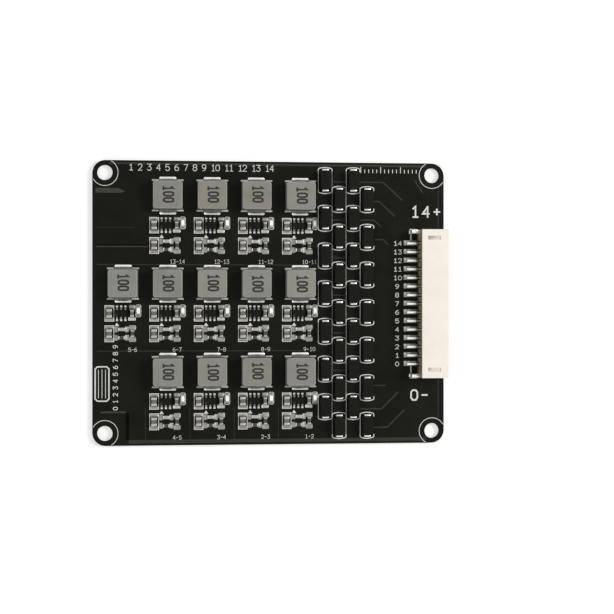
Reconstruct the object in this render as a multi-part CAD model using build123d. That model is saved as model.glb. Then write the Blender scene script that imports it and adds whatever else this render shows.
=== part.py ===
from build123d import *
import os

# Circuit board. All sizes are in millimetres, X runs towards the header, Z is up from the back face.
board_length = 81.0
board_width = 65.0
board_thickness = 1.0
board_corner_radius = 3.0
mount_hole_diameter = 3.5
mount_hole_inset = 2.8

# Grid of stages. The insets run from the board's edges to the centres of the outer inductors.
stage_columns = 5
stage_rows = 3
left_column_inset = 6.95
right_column_inset = 33.6
top_row_inset = 8.0
bottom_row_inset = 16.8
row_names = ["upper", "middle", "lower"]

# Moulded inductor. Four low lugs stand out at its corners, and a terminal lies between each pair.
inductor_width = 6.6
inductor_length = 6.3
inductor_height = 3.0
inductor_corner_chamfer = 0.4
inductor_top_chamfer = 0.2
lug_reach_x = 0.3
lug_reach_y = 0.5
lug_height = 1.0
terminal_width = 3.9
terminal_thickness = 0.2
terminal_foot = 1.5
terminal_side_clearance = 0.05

# Chips below each inductor. An upper line holds the converter, and a lower line the resistors.
upper_line_gap = 3.1
line_pitch = 4.6
part_gap = 0.6
converter_offset = -0.44
resistor_pair_offset = -0.35
resistor_pair_spacing = 1.9
resistor_side_gap = 1.25

# Converter in a six-lead small-outline package
converter_length = 2.9
converter_width = 1.6
converter_height = 1.1
converter_standoff = 0.1
converter_draft = 7.0
converter_lead_pitch = 0.95
converter_leads_per_side = 3
converter_lead_width = 0.4
converter_lead_thickness = 0.15
converter_lead_land = 0.55
converter_lead_shoulder = 0.2
converter_lead_reach = 0.62
converter_lead_foot = 0.3

# Chip capacitors, chip resistors and light-emitting diodes: length, width and height of each
bulk_capacitor_length = 2.0
bulk_capacitor_width = 1.25
bulk_capacitor_height = 1.0
small_capacitor_length = 1.6
small_capacitor_width = 0.8
small_capacitor_height = 0.8
resistor_length = 1.6
resistor_width = 0.8
resistor_height = 0.45
end_cap_share = 0.22
end_cap_step = 0.03
led_length = 1.6
led_width = 0.8
led_base_height = 0.25
led_lens_height = 0.35
led_lens_length = 1.1
led_lens_top_length = 0.9

# Surface-mount diodes in four staggered columns
diode_columns = 4
diode_rows = 7
diode_first_column_inset = 27.8
diode_column_pitch = 3.25
diode_edge_inset = 4.2
diode_length = 4.3
diode_width = 2.6
diode_height = 2.1
diode_draft = 6.0
diode_lead_width = 1.5
diode_lead_thickness = 0.2
diode_lead_height = 1.1
diode_lead_reach = 0.42
diode_lead_foot = 1.2

# Side-entry header. Its mouth is flush with the board's right-hand edge.
contact_count = 15
contact_pitch = 2.0
contact_size = 0.5
contact_height = 2.8
contact_bend = 0.35
contact_tip_setback = 1.3
contact_foot_reach = 2.5
header_end_margin = 3.0
header_depth = 6.2
header_height = 5.5
header_offset = -0.15
header_wall = 0.7
header_end_wall = 0.8
header_rear_wall = 1.4
header_mouth_chamfer = 0.25
rear_slot_width = 0.9
rear_slot_depth = 0.9
rear_slot_height = 4.5
window_length = 2.9
window_width = 0.9
window_end_inset = 1.5
arm_length = 1.7
arm_width = 0.75
arm_height = 2.6
hold_down_thickness = 0.2
hold_down_overhang = 0.3
hold_down_post_length = 0.8
hold_down_post_width = 0.3
hold_down_post_height = 1.2

# Places worked out from the sizes above
board_right = board_length / 2
board_top = board_width / 2
deck = board_thickness
column_pitch = (board_length - left_column_inset - right_column_inset) / (stage_columns - 1)
row_pitch = (board_width - top_row_inset - bottom_row_inset) / (stage_rows - 1)
lug_end = inductor_length / 2 + lug_reach_y
upper_line = -(lug_end + upper_line_gap)
lower_line = upper_line - line_pitch
diode_row_pitch = (board_width - 2 * diode_edge_inset) / (diode_rows - 0.5)
header_front = board_right
header_back = header_front - header_depth
header_length = (contact_count - 1) * contact_pitch + 2 * header_end_margin
arm_back = header_back - arm_length


def column_x(column):
    """The X of a stage column, counted from 0 at the left."""
    return -board_right + left_column_inset + column * column_pitch


def row_y(row):
    """The Y of a stage row, counted from 0 at the top."""
    return board_top - top_row_inset - row * row_pitch


def stage_places():
    """Each stage's number, row and centre. The stages run to and fro, from the lower right."""
    last = stage_columns - 1
    lower = [(2, column) for column in range(last, 0, -1)]
    middle = [(1, column) for column in range(last + 1)]
    upper = [(0, column) for column in range(last, 0, -1)]
    route = enumerate(lower + middle + upper, start=1)
    return [(number, row, column_x(column), row_y(row)) for number, (row, column) in route]


def bent_strip(points, thickness, width):
    """A flat strip bent along points in the YZ plane, with its thickness on the right of them."""
    outline = offset(Polyline(*points), thickness, side=Side.RIGHT, kind=Kind.INTERSECTION, closed=True)
    return extrude(Plane.YZ * make_face(outline), width / 2, both=True)


def both_ends(piece):
    """A piece and its copy turned half a turn about Z."""
    return [piece, Rot(0, 0, 180) * piece]


def circuit_board():
    """The laminate, with its rounded corners and four screw holes."""
    outline = RectangleRounded(board_length, board_width, board_corner_radius)
    spacing_x = board_length - 2 * mount_hole_inset
    spacing_y = board_width - 2 * mount_hole_inset
    holes = GridLocations(spacing_x, spacing_y, 2, 2) * Circle(mount_hole_diameter / 2)
    return extrude(outline - holes, board_thickness)


def terminal():
    """One inductor terminal: out of the block, down over its end and back under it."""
    block_end = inductor_length / 2
    points = [
        (block_end, lug_height),
        (lug_end, lug_height),
        (lug_end, 0),
        (lug_end - terminal_foot, 0),
    ]
    return bent_strip(points, terminal_thickness, terminal_width)


def inductor_body():
    """The moulded block with its corner lugs, recessed for the terminals."""
    outline = Rectangle(inductor_width, inductor_length)
    outline = chamfer(outline.vertices(), inductor_corner_chamfer)
    block = extrude(outline, inductor_height)
    block = chamfer(block.faces().sort_by(Axis.Z)[-1].edges(), inductor_top_chamfer)
    recess_width = terminal_width + 2 * terminal_side_clearance
    lug_length = (inductor_width - recess_width) / 2 + lug_reach_x
    lug_x = recess_width / 2 + lug_length / 2
    lug_overlap = inductor_corner_chamfer
    lug = Rectangle(lug_length, lug_reach_y + lug_overlap)
    lug_y = lug_end - (lug_reach_y + lug_overlap) / 2
    lugs = extrude(Sketch() + GridLocations(2 * lug_x, 2 * lug_y, 2, 2) * lug, lug_height)
    foot_length = terminal_foot - lug_reach_y
    foot_y = inductor_length / 2 - foot_length / 2
    foot = Rectangle(recess_width, foot_length)
    recesses = extrude(Sketch() + GridLocations(0, 2 * foot_y, 1, 2) * foot, terminal_thickness)
    return block + lugs - recesses


def moulded_package(length, width, standoff, land_height, land_thickness, height, draft):
    """A moulded body, drafted up and down from a straight land at the height of its leads."""
    outline = Rectangle(length, width)
    land_low = land_height - land_thickness
    land = Pos(0, 0, land_low) * extrude(outline, land_thickness)
    upper = Pos(0, 0, land_height) * extrude(outline, height - land_height, taper=draft)
    lower = Pos(0, 0, land_low) * extrude(outline, standoff - land_low, taper=draft)
    return land + upper + lower


def converter_body():
    """The converter's moulded body."""
    return moulded_package(
        converter_length,
        converter_width,
        converter_standoff,
        converter_lead_land,
        converter_lead_thickness,
        converter_height,
        converter_draft,
    )


def converter_leads():
    """The gull-wing leads, three along each side of the converter."""
    side = converter_width / 2
    tip = side + converter_lead_reach
    points = [
        (side, converter_lead_land),
        (side + converter_lead_shoulder, converter_lead_land),
        (tip - converter_lead_foot, converter_lead_thickness),
        (tip, converter_lead_thickness),
    ]
    lead = bent_strip(points, converter_lead_thickness, converter_lead_width)
    row = GridLocations(converter_lead_pitch, 0, converter_leads_per_side, 1)
    return [place * piece for place in row for piece in both_ends(lead)]


def chip(length, width, height):
    """A two-ended chip, lying along X, with an end cap standing proud at each end."""
    cap = length * end_cap_share
    end = length / 2
    top = height - end_cap_step
    outline = Polyline(
        (-end, 0),
        (end, 0),
        (end, height),
        (end - cap, height),
        (end - cap, top),
        (cap - end, top),
        (cap - end, height),
        (-end, height),
        close=True,
    )
    return extrude(Plane.XZ * make_face(outline), width / 2, both=True)


def led():
    """A chip light-emitting diode, lying along X: a base with a tapered lens."""
    end = led_length / 2
    top = led_base_height + led_lens_height
    outline = Polyline(
        (-end, 0),
        (end, 0),
        (end, led_base_height),
        (led_lens_length / 2, led_base_height),
        (led_lens_top_length / 2, top),
        (-led_lens_top_length / 2, top),
        (-led_lens_length / 2, led_base_height),
        (-end, led_base_height),
        close=True,
    )
    return extrude(Plane.XZ * make_face(outline), led_width / 2, both=True)


def stage_chips():
    """The chips of one stage, placed from the centre of its inductor, under their nodes' names."""
    upright = Rot(0, 0, 90)
    bulk = upright * chip(bulk_capacitor_length, bulk_capacitor_width, bulk_capacitor_height)
    small = upright * chip(small_capacitor_length, small_capacitor_width, small_capacitor_height)
    resistor = chip(resistor_length, resistor_width, resistor_height)
    converter_end = converter_length / 2 + part_gap
    bulk_x = converter_offset - converter_end - bulk_capacitor_width / 2
    small_x = converter_offset + converter_end + small_capacitor_width / 2
    led_x = small_x + small_capacitor_width / 2 + part_gap + led_width / 2
    pair_step = resistor_pair_spacing / 2
    upright_x = resistor_pair_offset + resistor_length / 2 + resistor_side_gap + resistor_width / 2
    return {
        "bulk_capacitors": [Pos(bulk_x, upper_line) * bulk, Pos(bulk_x, lower_line) * bulk],
        "small_capacitors": [Pos(small_x, upper_line) * small],
        "resistors": [
            Pos(resistor_pair_offset, lower_line + pair_step) * resistor,
            Pos(resistor_pair_offset, lower_line - pair_step) * resistor,
            Pos(upright_x, lower_line) * upright * resistor,
        ],
        "indicator_leds": [Pos(led_x, upper_line + part_gap) * upright * led()],
    }


def diode_body():
    """The moulded body of one diode, lying along Y."""
    return moulded_package(
        diode_width,
        diode_length,
        diode_lead_thickness,
        diode_lead_height,
        diode_lead_thickness,
        diode_height,
        diode_draft,
    )


def diode_leads():
    """The two leads of one diode, folded down and back under its body."""
    side = diode_length / 2
    bend = side + diode_lead_reach
    points = [
        (side, diode_lead_height),
        (bend, diode_lead_height),
        (bend, 0),
        (bend - diode_lead_foot, 0),
    ]
    return both_ends(bent_strip(points, diode_lead_thickness, diode_lead_width))


def diode_places(column):
    """The centres of one column of diodes. Every other column starts half a pitch lower."""
    x = board_right - diode_first_column_inset + column * diode_column_pitch
    start = board_top - diode_edge_inset - (column % 2) * diode_row_pitch / 2
    return [Pos(x, start - row * diode_row_pitch, deck) for row in range(diode_rows)]


def contact_rows():
    """The Y of every header contact."""
    first = header_offset - (contact_count - 1) * contact_pitch / 2
    return [first + index * contact_pitch for index in range(contact_count)]


def contact():
    """One square contact: a pin in the mouth, a leg down its slot and a foot on the board."""
    top = contact_height + contact_size / 2
    tip = header_front - contact_tip_setback
    foot = header_back - contact_foot_reach
    heel = header_back + contact_size
    outline = Polyline(
        (tip, top),
        (header_back + contact_bend, top),
        (header_back, top - contact_bend),
        (header_back, contact_size),
        (foot, contact_size),
        (foot, 0),
        (heel - contact_bend, 0),
        (heel, contact_bend),
        (heel, top - contact_size),
        (tip, top - contact_size),
        close=True,
    )
    bent = extrude(Plane.XZ * make_face(outline), contact_size / 2, both=True)
    return Pos(0, 0, deck) * bent


def header_end(end):
    """The Y of the housing's outer face at one end, with end as 1 or -1."""
    return header_offset + end * header_length / 2


def centred_box(low_x, high_x, centre_y, width, low_z, high_z):
    """A block between two X and two Z, centred on a Y. Heights count from the board's face."""
    middle = ((low_x + high_x) / 2, centre_y, deck + (low_z + high_z) / 2)
    return Pos(*middle) * Box(high_x - low_x, width, high_z - low_z)


def arm_y(end):
    """The Y of the middle of a rear arm."""
    return header_end(end) - end * arm_width / 2


def hold_down(end):
    """A hold-down tab: a foot on the board and a post that stands up inside the rear arm."""
    foot_back = arm_back - hold_down_overhang
    foot = centred_box(foot_back, header_back, arm_y(end), arm_width, 0, hold_down_thickness)
    post_back = (arm_back + header_back - hold_down_post_length) / 2
    post_front = post_back + hold_down_post_length
    post_top = hold_down_thickness + hold_down_post_height
    post = centred_box(post_back, post_front, arm_y(end), hold_down_post_width, 0, post_top)
    return foot + post


def header_housing():
    """The moulded shroud: an open mouth, slots for the contacts, two windows and two rear arms."""
    shell = centred_box(header_back, header_front, header_offset, header_length, 0, header_height)
    cavity_back = header_back + header_rear_wall
    cavity_length = header_length - 2 * header_end_wall
    cavity_top = header_height - header_wall
    cavity = centred_box(
        cavity_back, header_front, header_offset, cavity_length, header_wall, cavity_top
    )
    shell -= cavity
    mouth = shell.faces().sort_by(Axis.X)[-1].inner_wires()[0].edges()
    shell = chamfer(mouth, header_mouth_chamfer)
    for end in (1, -1):
        arm = centred_box(
            arm_back, header_back, arm_y(end), arm_width, hold_down_thickness, arm_height
        )
        window_y = header_end(end) - end * (window_end_inset + window_width / 2)
        window_front = cavity_back + window_length
        window = centred_box(
            cavity_back, window_front, window_y, window_width, cavity_top, header_height
        )
        shell = shell + arm - window - hold_down(end)
    slot_front = header_back + rear_slot_depth
    half = contact_size / 2
    for y in contact_rows():
        slot = centred_box(header_back, slot_front, y, rear_slot_width, 0, rear_slot_height)
        hole = centred_box(
            header_back, cavity_back, y, contact_size, contact_height - half, contact_height + half
        )
        shell = shell - slot - hole
    return shell


def save(name, solids):
    """Writes one node. A list of solids goes in as one group."""
    if isinstance(solids, list):
        solids = Compound(children=[piece.solid() for piece in solids])
    export_step(solids, f"parts/{name}.step")


os.makedirs("parts", exist_ok=True)
save("circuit_board", circuit_board())

groups = {}
body = inductor_body()
chips = stage_chips()
for number, row, x, y in stage_places():
    stage = Pos(x, y, deck)
    converter = Pos(converter_offset, upper_line)
    save(f"inductor_{number:02d}", stage * body)
    save(f"balancer_ic_{number:02d}", stage * converter * converter_body())
    small_parts = dict(chips)
    small_parts["inductor_terminals"] = both_ends(terminal())
    small_parts["balancer_ic_leads"] = [converter * lead for lead in converter_leads()]
    for name, solids in small_parts.items():
        group = groups.setdefault(f"{name}_{row_names[row]}_row", [])
        group.extend(stage * solid for solid in solids)

diode = diode_body()
leads = diode_leads()
for column in range(diode_columns):
    places = diode_places(column)
    groups[f"diode_bodies_column_{column + 1}"] = [place * diode for place in places]
    groups[f"diode_leads_column_{column + 1}"] = [place * lead for place in places for lead in leads]

save("header_housing", header_housing())
groups["header_contacts"] = [Pos(0, y) * contact() for y in contact_rows()]
groups["header_hold_downs"] = [hold_down(1), hold_down(-1)]
for name, solids in groups.items():
    save(name, solids)
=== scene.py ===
import math
import random

import bmesh
import bpy
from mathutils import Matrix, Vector


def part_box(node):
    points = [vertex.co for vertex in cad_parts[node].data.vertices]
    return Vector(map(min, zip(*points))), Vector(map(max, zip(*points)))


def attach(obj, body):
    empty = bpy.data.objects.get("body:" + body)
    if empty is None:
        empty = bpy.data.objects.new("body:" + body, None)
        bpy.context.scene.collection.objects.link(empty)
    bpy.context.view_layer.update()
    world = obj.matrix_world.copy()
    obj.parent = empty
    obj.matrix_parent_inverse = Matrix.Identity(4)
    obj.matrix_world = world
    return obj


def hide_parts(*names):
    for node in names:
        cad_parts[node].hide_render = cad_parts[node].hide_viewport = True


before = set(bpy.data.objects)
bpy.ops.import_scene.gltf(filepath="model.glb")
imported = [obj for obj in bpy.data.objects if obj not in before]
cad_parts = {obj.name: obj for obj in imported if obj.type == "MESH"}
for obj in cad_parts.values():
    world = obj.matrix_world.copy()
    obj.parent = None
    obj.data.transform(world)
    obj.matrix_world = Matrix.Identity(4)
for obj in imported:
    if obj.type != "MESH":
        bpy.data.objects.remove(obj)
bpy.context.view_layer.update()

# Shapes are written in millimetres, in the CAD's own frame, and scaled by MM when they become meshes.
MM = 0.001
random.seed(7)

# The board's half sizes and its top face, from the frame, and the screw holes with the rings round them
BOARD_X, BOARD_Y, DECK = (round(value / MM, 3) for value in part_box("circuit_board")[1])
HOLE_X, HOLE_Y, RING_RADIUS = 37.7, 29.7, 3.0

# Layers on the board, and marks on mouldings, which start a little below the mouldings' faces
COPPER_THICKNESS = 0.025
GAP_THICKNESS = 0.01
INK_THICKNESS = 0.03
MARK_THICKNESS = 0.012
MARK_SUNK = 0.004

ROWS = ("upper", "middle", "lower")
NUMBERS = {"lower": range(1, 5), "middle": range(5, 10), "upper": range(10, 14)}
STAGES = range(1, 14)
DIODE_COLUMNS = range(1, 5)


# Meshes

SMOOTH_ANGLE = 35.0


def scale_by(bm, factor):
    bmesh.ops.scale(bm, vec=(factor,) * 3, verts=bm.verts)


def new_object(name, data):
    made = bpy.data.objects.new(name, data)
    bpy.context.scene.collection.objects.link(made)
    return made


def mesh_object(name, bm):
    """Turns a bmesh in millimetres into an object."""
    scale_by(bm, MM)
    mesh = bpy.data.meshes.new(name)
    bm.to_mesh(mesh)
    bm.free()
    return new_object(name, mesh)


def make_piece(name, bm, materials, nodes=()):
    """Turns a bmesh in millimetres into a piece. If it stands for CAD nodes, its flat faces look flat."""
    bmesh.ops.recalc_face_normals(bm, faces=bm.faces)
    piece = mesh_object(name, bm)
    mesh = piece.data
    for item in materials:
        mesh.materials.append(item)
    mesh.polygons.foreach_set("use_smooth", [True] * len(mesh.polygons))
    mesh.set_sharp_from_angle(angle=math.radians(SMOOTH_ANGLE))
    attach(piece, "root")
    if nodes:
        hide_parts(*nodes)
        piece.modifiers.new("even_normals", "WEIGHTED_NORMAL").keep_sharp = True


def merged_copy(node):
    """The solids of a CAD node as one clean bmesh, in millimetres."""
    bm = bmesh.new()
    bm.from_mesh(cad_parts[node].data)
    scale_by(bm, 1 / MM)
    bmesh.ops.remove_doubles(bm, verts=bm.verts, dist=0.002)
    bmesh.ops.dissolve_limit(bm, angle_limit=math.radians(2), verts=bm.verts, edges=bm.edges)
    return bm


def round_edges(bm, edges, width, segments):
    return bmesh.ops.bevel(
        bm, geom=edges, offset=width, offset_type="OFFSET", segments=segments,
        profile=0.5, affect="EDGES", clamp_overlap=True,
    )


def soften(bm, width, segments=2, least_angle=25.0, wanted=None):
    """Rounds the sharp edges of a bmesh."""
    edges = []
    for edge in bm.edges:
        sharp = edge.is_manifold and edge.calc_face_angle(0) > math.radians(least_angle)
        if sharp and (wanted is None or wanted(edge)):
            edges.append(edge)
    round_edges(bm, edges, width, segments)
    bmesh.ops.recalc_face_normals(bm, faces=bm.faces)
    bm.normal_update()


def build_rounded(name, node, material, width, segments=2, least_angle=25.0):
    """A piece with the shape of a CAD node and rounded edges."""
    bm = merged_copy(node)
    soften(bm, width, segments, least_angle)
    make_piece(name, bm, [material], [node])


def solid_boxes(node):
    """The box of each separate solid of a CAD node, in millimetres, in a fixed order."""
    bm = merged_copy(node)
    boxes = []
    left = set(bm.verts)
    while left:
        todo = [left.pop()]
        points = []
        while todo:
            vert = todo.pop()
            points.append(vert.co)
            near = {edge.other_vert(vert) for edge in vert.link_edges} & left
            left -= near
            todo.extend(near)
        low = Vector(min(point[axis] for point in points) for axis in range(3))
        high = Vector(max(point[axis] for point in points) for axis in range(3))
        boxes.append((low, high))
    bm.free()
    return sorted(boxes, key=lambda box: tuple(round(value, 3) for value in box[0]))


def span(middle, side, near, far):
    """Two places at a side, 1 or -1, of a middle, the lower one first."""
    return sorted((middle + side * near, middle + side * far))


def add_block(bm, low, high, edge, segments=2, material=0):
    """A block between two corners, with its edges rounded."""
    made = bmesh.ops.create_cube(bm, size=1.0)["verts"]
    middle = (low + high) / 2
    size = high - low
    for vert in made:
        vert.co = Vector(middle[axis] + vert.co[axis] * size[axis] for axis in range(3))
    edges = list({e for vert in made for e in vert.link_edges})
    rounded = round_edges(bm, edges, edge, segments)
    for face in {f for vert in rounded["verts"] for f in vert.link_faces}:
        face.material_index = material


def extruded(bm, faces):
    """Doubles flat faces, with walls between both, and gives the corners of the new ones."""
    made = bmesh.ops.extrude_face_region(bm, geom=faces, use_keep_orig=True)["geom"]
    return [item for item in made if isinstance(item, bmesh.types.BMVert)]


def add_prism(bm, path, low_z, high_z, edge, segments=2):
    """An upright prism on a closed path of (x, y) points, with its top and upright edges rounded."""
    face = bm.faces.new([bm.verts.new((x, y, low_z)) for x, y in path[:-1]])
    raised = extruded(bm, [face])
    bmesh.ops.translate(bm, vec=(0, 0, high_z - low_z), verts=raised)
    round_edges(bm, list({e for vert in raised for e in vert.link_edges}), edge, segments)


def add_ribbon(bm, path, width, z=DECK, lift=0.0, round_ends=True):
    """A flat line along a path of (x, y) points, which may end where it starts.

    raise_flat makes it solid later, and lift keeps lines that cross from sharing one plane.
    """
    points = [Vector((p[0], p[1])) for p in path]
    closed = (points[0] - points[-1]).length < 0.001
    if closed:
        points.pop()
    count = len(points)
    layer = bm.verts.layers.float.get("lift") or bm.verts.layers.float.new("lift")
    old = len(bm.verts)
    half = width / 2
    steps = [(points[(i + 1) % count] - points[i]).normalized() for i in range(count)]
    if not closed:
        steps[-1] = steps[-2]
    left, right = [], []
    for i, point in enumerate(points):
        come = steps[i - 1] if i or closed else steps[0]
        along = (come + steps[i]).normalized()
        side = Vector((-along.y, along.x))
        mitre = 1 / max(0.45, side.dot(Vector((-come.y, come.x))))
        left.append(bm.verts.new((*(point + side * half * mitre), z)))
        right.append(bm.verts.new((*(point - side * half * mitre), z)))
    for i in range(count if closed else count - 1):
        j = (i + 1) % count
        bm.faces.new((left[i], right[i], right[j], left[j]))
    if not closed and round_ends:
        for end, out in ((0, -steps[0]), (count - 1, steps[-1])):
            across = Vector((-out.y, out.x))
            first, last = (left[end], right[end]) if end else (right[end], left[end])
            arc = []
            for step in (1, 2, 3):
                angle = math.pi * step / 4
                spot = points[end] + half * (math.cos(angle) * across + math.sin(angle) * out)
                arc.append(bm.verts.new((*spot, z)))
            bm.faces.new((first, *arc, last))
    for vert in bm.verts[old:]:
        vert[layer] = lift


def outline_box(x0, x1, y0, y1, cut=0.0):
    """A closed path round a rectangle, with its corners cut off by a given length."""
    if cut:
        path = [(x0 + cut, y0), (x1 - cut, y0), (x1, y0 + cut), (x1, y1 - cut), (x1 - cut, y1),
                (x0 + cut, y1), (x0, y1 - cut), (x0, y0 + cut)]
    else:
        path = [(x0, y0), (x1, y0), (x1, y1), (x0, y1)]
    return path + path[:1]


def add_flat(bm, corners, z=DECK):
    """A flat face with the given (x, y) corners."""
    bm.faces.new([bm.verts.new((x, y, z)) for x, y in corners])


def raise_flat(bm, thickness):
    """Gives flat faces a thickness, as a closed solid."""
    layer = bm.verts.layers.float.get("lift")
    for vert in extruded(bm, list(bm.faces)):
        vert.co.z += thickness + (vert[layer] if layer else 0.0)


def paint_since(bm, old, material):
    """Gives a material to the faces that were added since there were old ones."""
    for face in bm.faces[old:]:
        face.material_index = material


# Solder

# How far along a pad, and how far across it, the points of its solder lie
ALONG = (0.0, 0.05, 0.3, 0.52, 0.68, 0.80, 0.89, 0.95, 1.0)
ACROSS = (0.0, 0.06, 0.28, 0.5, 0.72, 0.94, 1.0)
# The height of its flat start and of its edges, and the share in which the edges climb with it
SOLDER_RIM = 0.05
SOLDER_EDGE = 0.012
EDGE_CLIMB = 0.35
# How much lower its sides are than its middle, and how much narrower it is at the start of the pad
SIDE_SAG = 0.5
START_NARROW = 0.12
START_SHARE = 0.15


def add_solder(bm, low_x, high_x, low_y, high_y, towards, peak, power=4.0):
    """Solder on a pad. It is flat at the rim and climbs in a hollow curve to a chip's end.

    towards is the (x, y) direction in which it climbs, and peak its height there.
    """
    turned = towards[0] == 0
    forward = sum(towards) > 0
    rows = []
    for t in ALONG:
        along = t if forward else 1 - t
        narrow = 1 - START_NARROW * max(0.0, START_SHARE - t) / START_SHARE
        row = []
        for s in ACROSS:
            side = 2 * s - 1
            height = SOLDER_RIM + peak * t ** power * (1 - SIDE_SAG * side ** 4)
            if t == 0 or abs(side) == 1:
                height = SOLDER_EDGE + (height - SOLDER_EDGE) * EDGE_CLIMB * t
            across = 0.5 + (s - 0.5) * narrow
            u, v = (across, along) if turned else (along, across)
            x = low_x + (high_x - low_x) * u
            y = low_y + (high_y - low_y) * v
            row.append(bm.verts.new((x, y, DECK + height)))
        rows.append(row)
    for near, far in zip(rows, rows[1:]):
        for j in range(len(ACROSS) - 1):
            bm.faces.new((near[j], far[j], far[j + 1], near[j + 1]))
    left = [row[0] for row in rows]
    right = [row[-1] for row in rows]
    loop = left[:-1] + rows[-1][:-1] + right[:0:-1] + rows[0][:0:-1]
    feet = [bm.verts.new((vert.co.x, vert.co.y, DECK)) for vert in loop]
    for i, vert in enumerate(loop):
        j = (i + 1) % len(loop)
        bm.faces.new((loop[j], vert, feet[i], feet[j]))
    bm.faces.new(feet)


# Materials

# The middle range of a noise, over which colours and values change
NOISE_LOW = 0.3
NOISE_HIGH = 0.7
BUMP_DEPTH = 0.00002
# Sockets of a mix node by their place, because several share a name
VALUE_A, VALUE_B, VALUE_RESULT = 2, 3, 0
COLOR_A, COLOR_B, COLOR_RESULT = 6, 7, 2


def link(source, target):
    target.id_data.links.new(source, target)


def set_inputs(node, values):
    for name, value in values.items():
        node.inputs[name].default_value = value


def new_material(name):
    material = bpy.data.materials.new(name)
    material.use_nodes = True
    tree = material.node_tree
    shader = tree.nodes["Principled BSDF"]
    coordinates = tree.nodes.new("ShaderNodeTexCoord")
    return material, tree, shader, coordinates.outputs["Object"]


def noise(tree, where, scale, detail=3.0, roughness=0.55, stretch=None):
    """A noise pattern. The scale counts features in a metre."""
    if stretch:
        mapping = tree.nodes.new("ShaderNodeMapping")
        mapping.inputs["Scale"].default_value = stretch
        link(where, mapping.inputs["Vector"])
        where = mapping.outputs["Vector"]
    node = tree.nodes.new("ShaderNodeTexNoise")
    set_inputs(node, {"Scale": scale, "Detail": detail, "Roughness": roughness})
    link(where, node.inputs["Vector"])
    return node.outputs["Fac"]


def ramp(tree, factor, stops):
    """A colour ramp with (position, colour) stops."""
    node = tree.nodes.new("ShaderNodeValToRGB")
    elements = node.color_ramp.elements
    while len(elements) < len(stops):
        elements.new(0.5)
    for element, (position, color) in zip(elements, stops):
        element.position = position
        element.color = (*color, 1.0)
    link(factor, node.inputs["Fac"])
    return node.outputs["Color"]


def shades(tree, pattern, dark, pale):
    """Colours a noise from dark to pale."""
    return ramp(tree, pattern, [(NOISE_LOW, dark), (NOISE_HIGH, pale)])


def spread(tree, factor, low, high, from_low=NOISE_LOW, from_high=NOISE_HIGH):
    """Maps a pattern onto a range of values."""
    node = tree.nodes.new("ShaderNodeMapRange")
    set_inputs(node, {"From Min": from_low, "From Max": from_high, "To Min": low, "To Max": high})
    link(factor, node.inputs["Value"])
    return node.outputs["Result"]


def add_bump(tree, shader, height, strength, distance=BUMP_DEPTH):
    bump = tree.nodes.new("ShaderNodeBump")
    set_inputs(bump, {"Strength": strength, "Distance": distance})
    link(height, bump.inputs["Height"])
    link(bump.outputs["Normal"], shader.inputs["Normal"])


def math_node(tree, operation, *values):
    """One sum on numbers or on other nodes' outputs."""
    node = tree.nodes.new("ShaderNodeMath")
    node.operation = operation
    for socket, value in zip(node.inputs, values):
        if isinstance(value, (int, float)):
            socket.default_value = value
        else:
            link(value, socket)
    return node.outputs["Value"]


def blend_colors(tree, factor, first, second):
    """The first colour where the factor is 0, the second where it is 1, or their product without one."""
    node = tree.nodes.new("ShaderNodeMix")
    node.data_type = "RGBA"
    if factor:
        link(factor, node.inputs["Factor"])
    else:
        node.blend_type = "MULTIPLY"
        node.inputs["Factor"].default_value = 1.0
    for place, value in ((COLOR_A, first), (COLOR_B, second)):
        if isinstance(value, tuple):
            node.inputs[place].default_value = (*value, 1.0)
        else:
            link(value, node.inputs[place])
    return node.outputs[COLOR_RESULT]


def tone(color, factor):
    return tuple(min(1.0, channel * factor) for channel in color)


def varied(name, color, roughness, vary, vary_scale, grain_scale, grain, bump,
           bump_depth=BUMP_DEPTH, metallic=0.0, specular=0.5):
    """A surface with slow and fine variation in its colour, and its own roughness and grain."""
    material, tree, shader, where = new_material(name)
    slow = noise(tree, where, vary_scale, 2.0)
    fine = noise(tree, where, grain_scale, 4.0, 0.65)
    base = shades(tree, slow, tone(color, 1 - vary), tone(color, 1 + vary))
    speckle = shades(tree, fine, (1 - grain,) * 3, (1 + grain * 0.6,) * 3)
    link(blend_colors(tree, None, base, speckle), shader.inputs["Base Color"])
    link(spread(tree, slow, roughness * 0.85, roughness * 1.15), shader.inputs["Roughness"])
    set_inputs(shader, {"Metallic": metallic, "Specular IOR Level": specular})
    add_bump(tree, shader, fine, bump, bump_depth)
    return material


# The back face's pours, gaps, rings, and dots over covered holes, which a noise leaves only in patches
BACK_POUR_HALF = 5.05
BACK_SPLIT_Y = 9.8
BACK_GAP_HALF = 0.09
BACK_RING_HALF = 0.1
DOT_HALF_PITCH = 1.01
DOT_RADIUS = 0.17
PATCH_SCALE = 130.0
PATCH_LEVEL = 0.53


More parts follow.
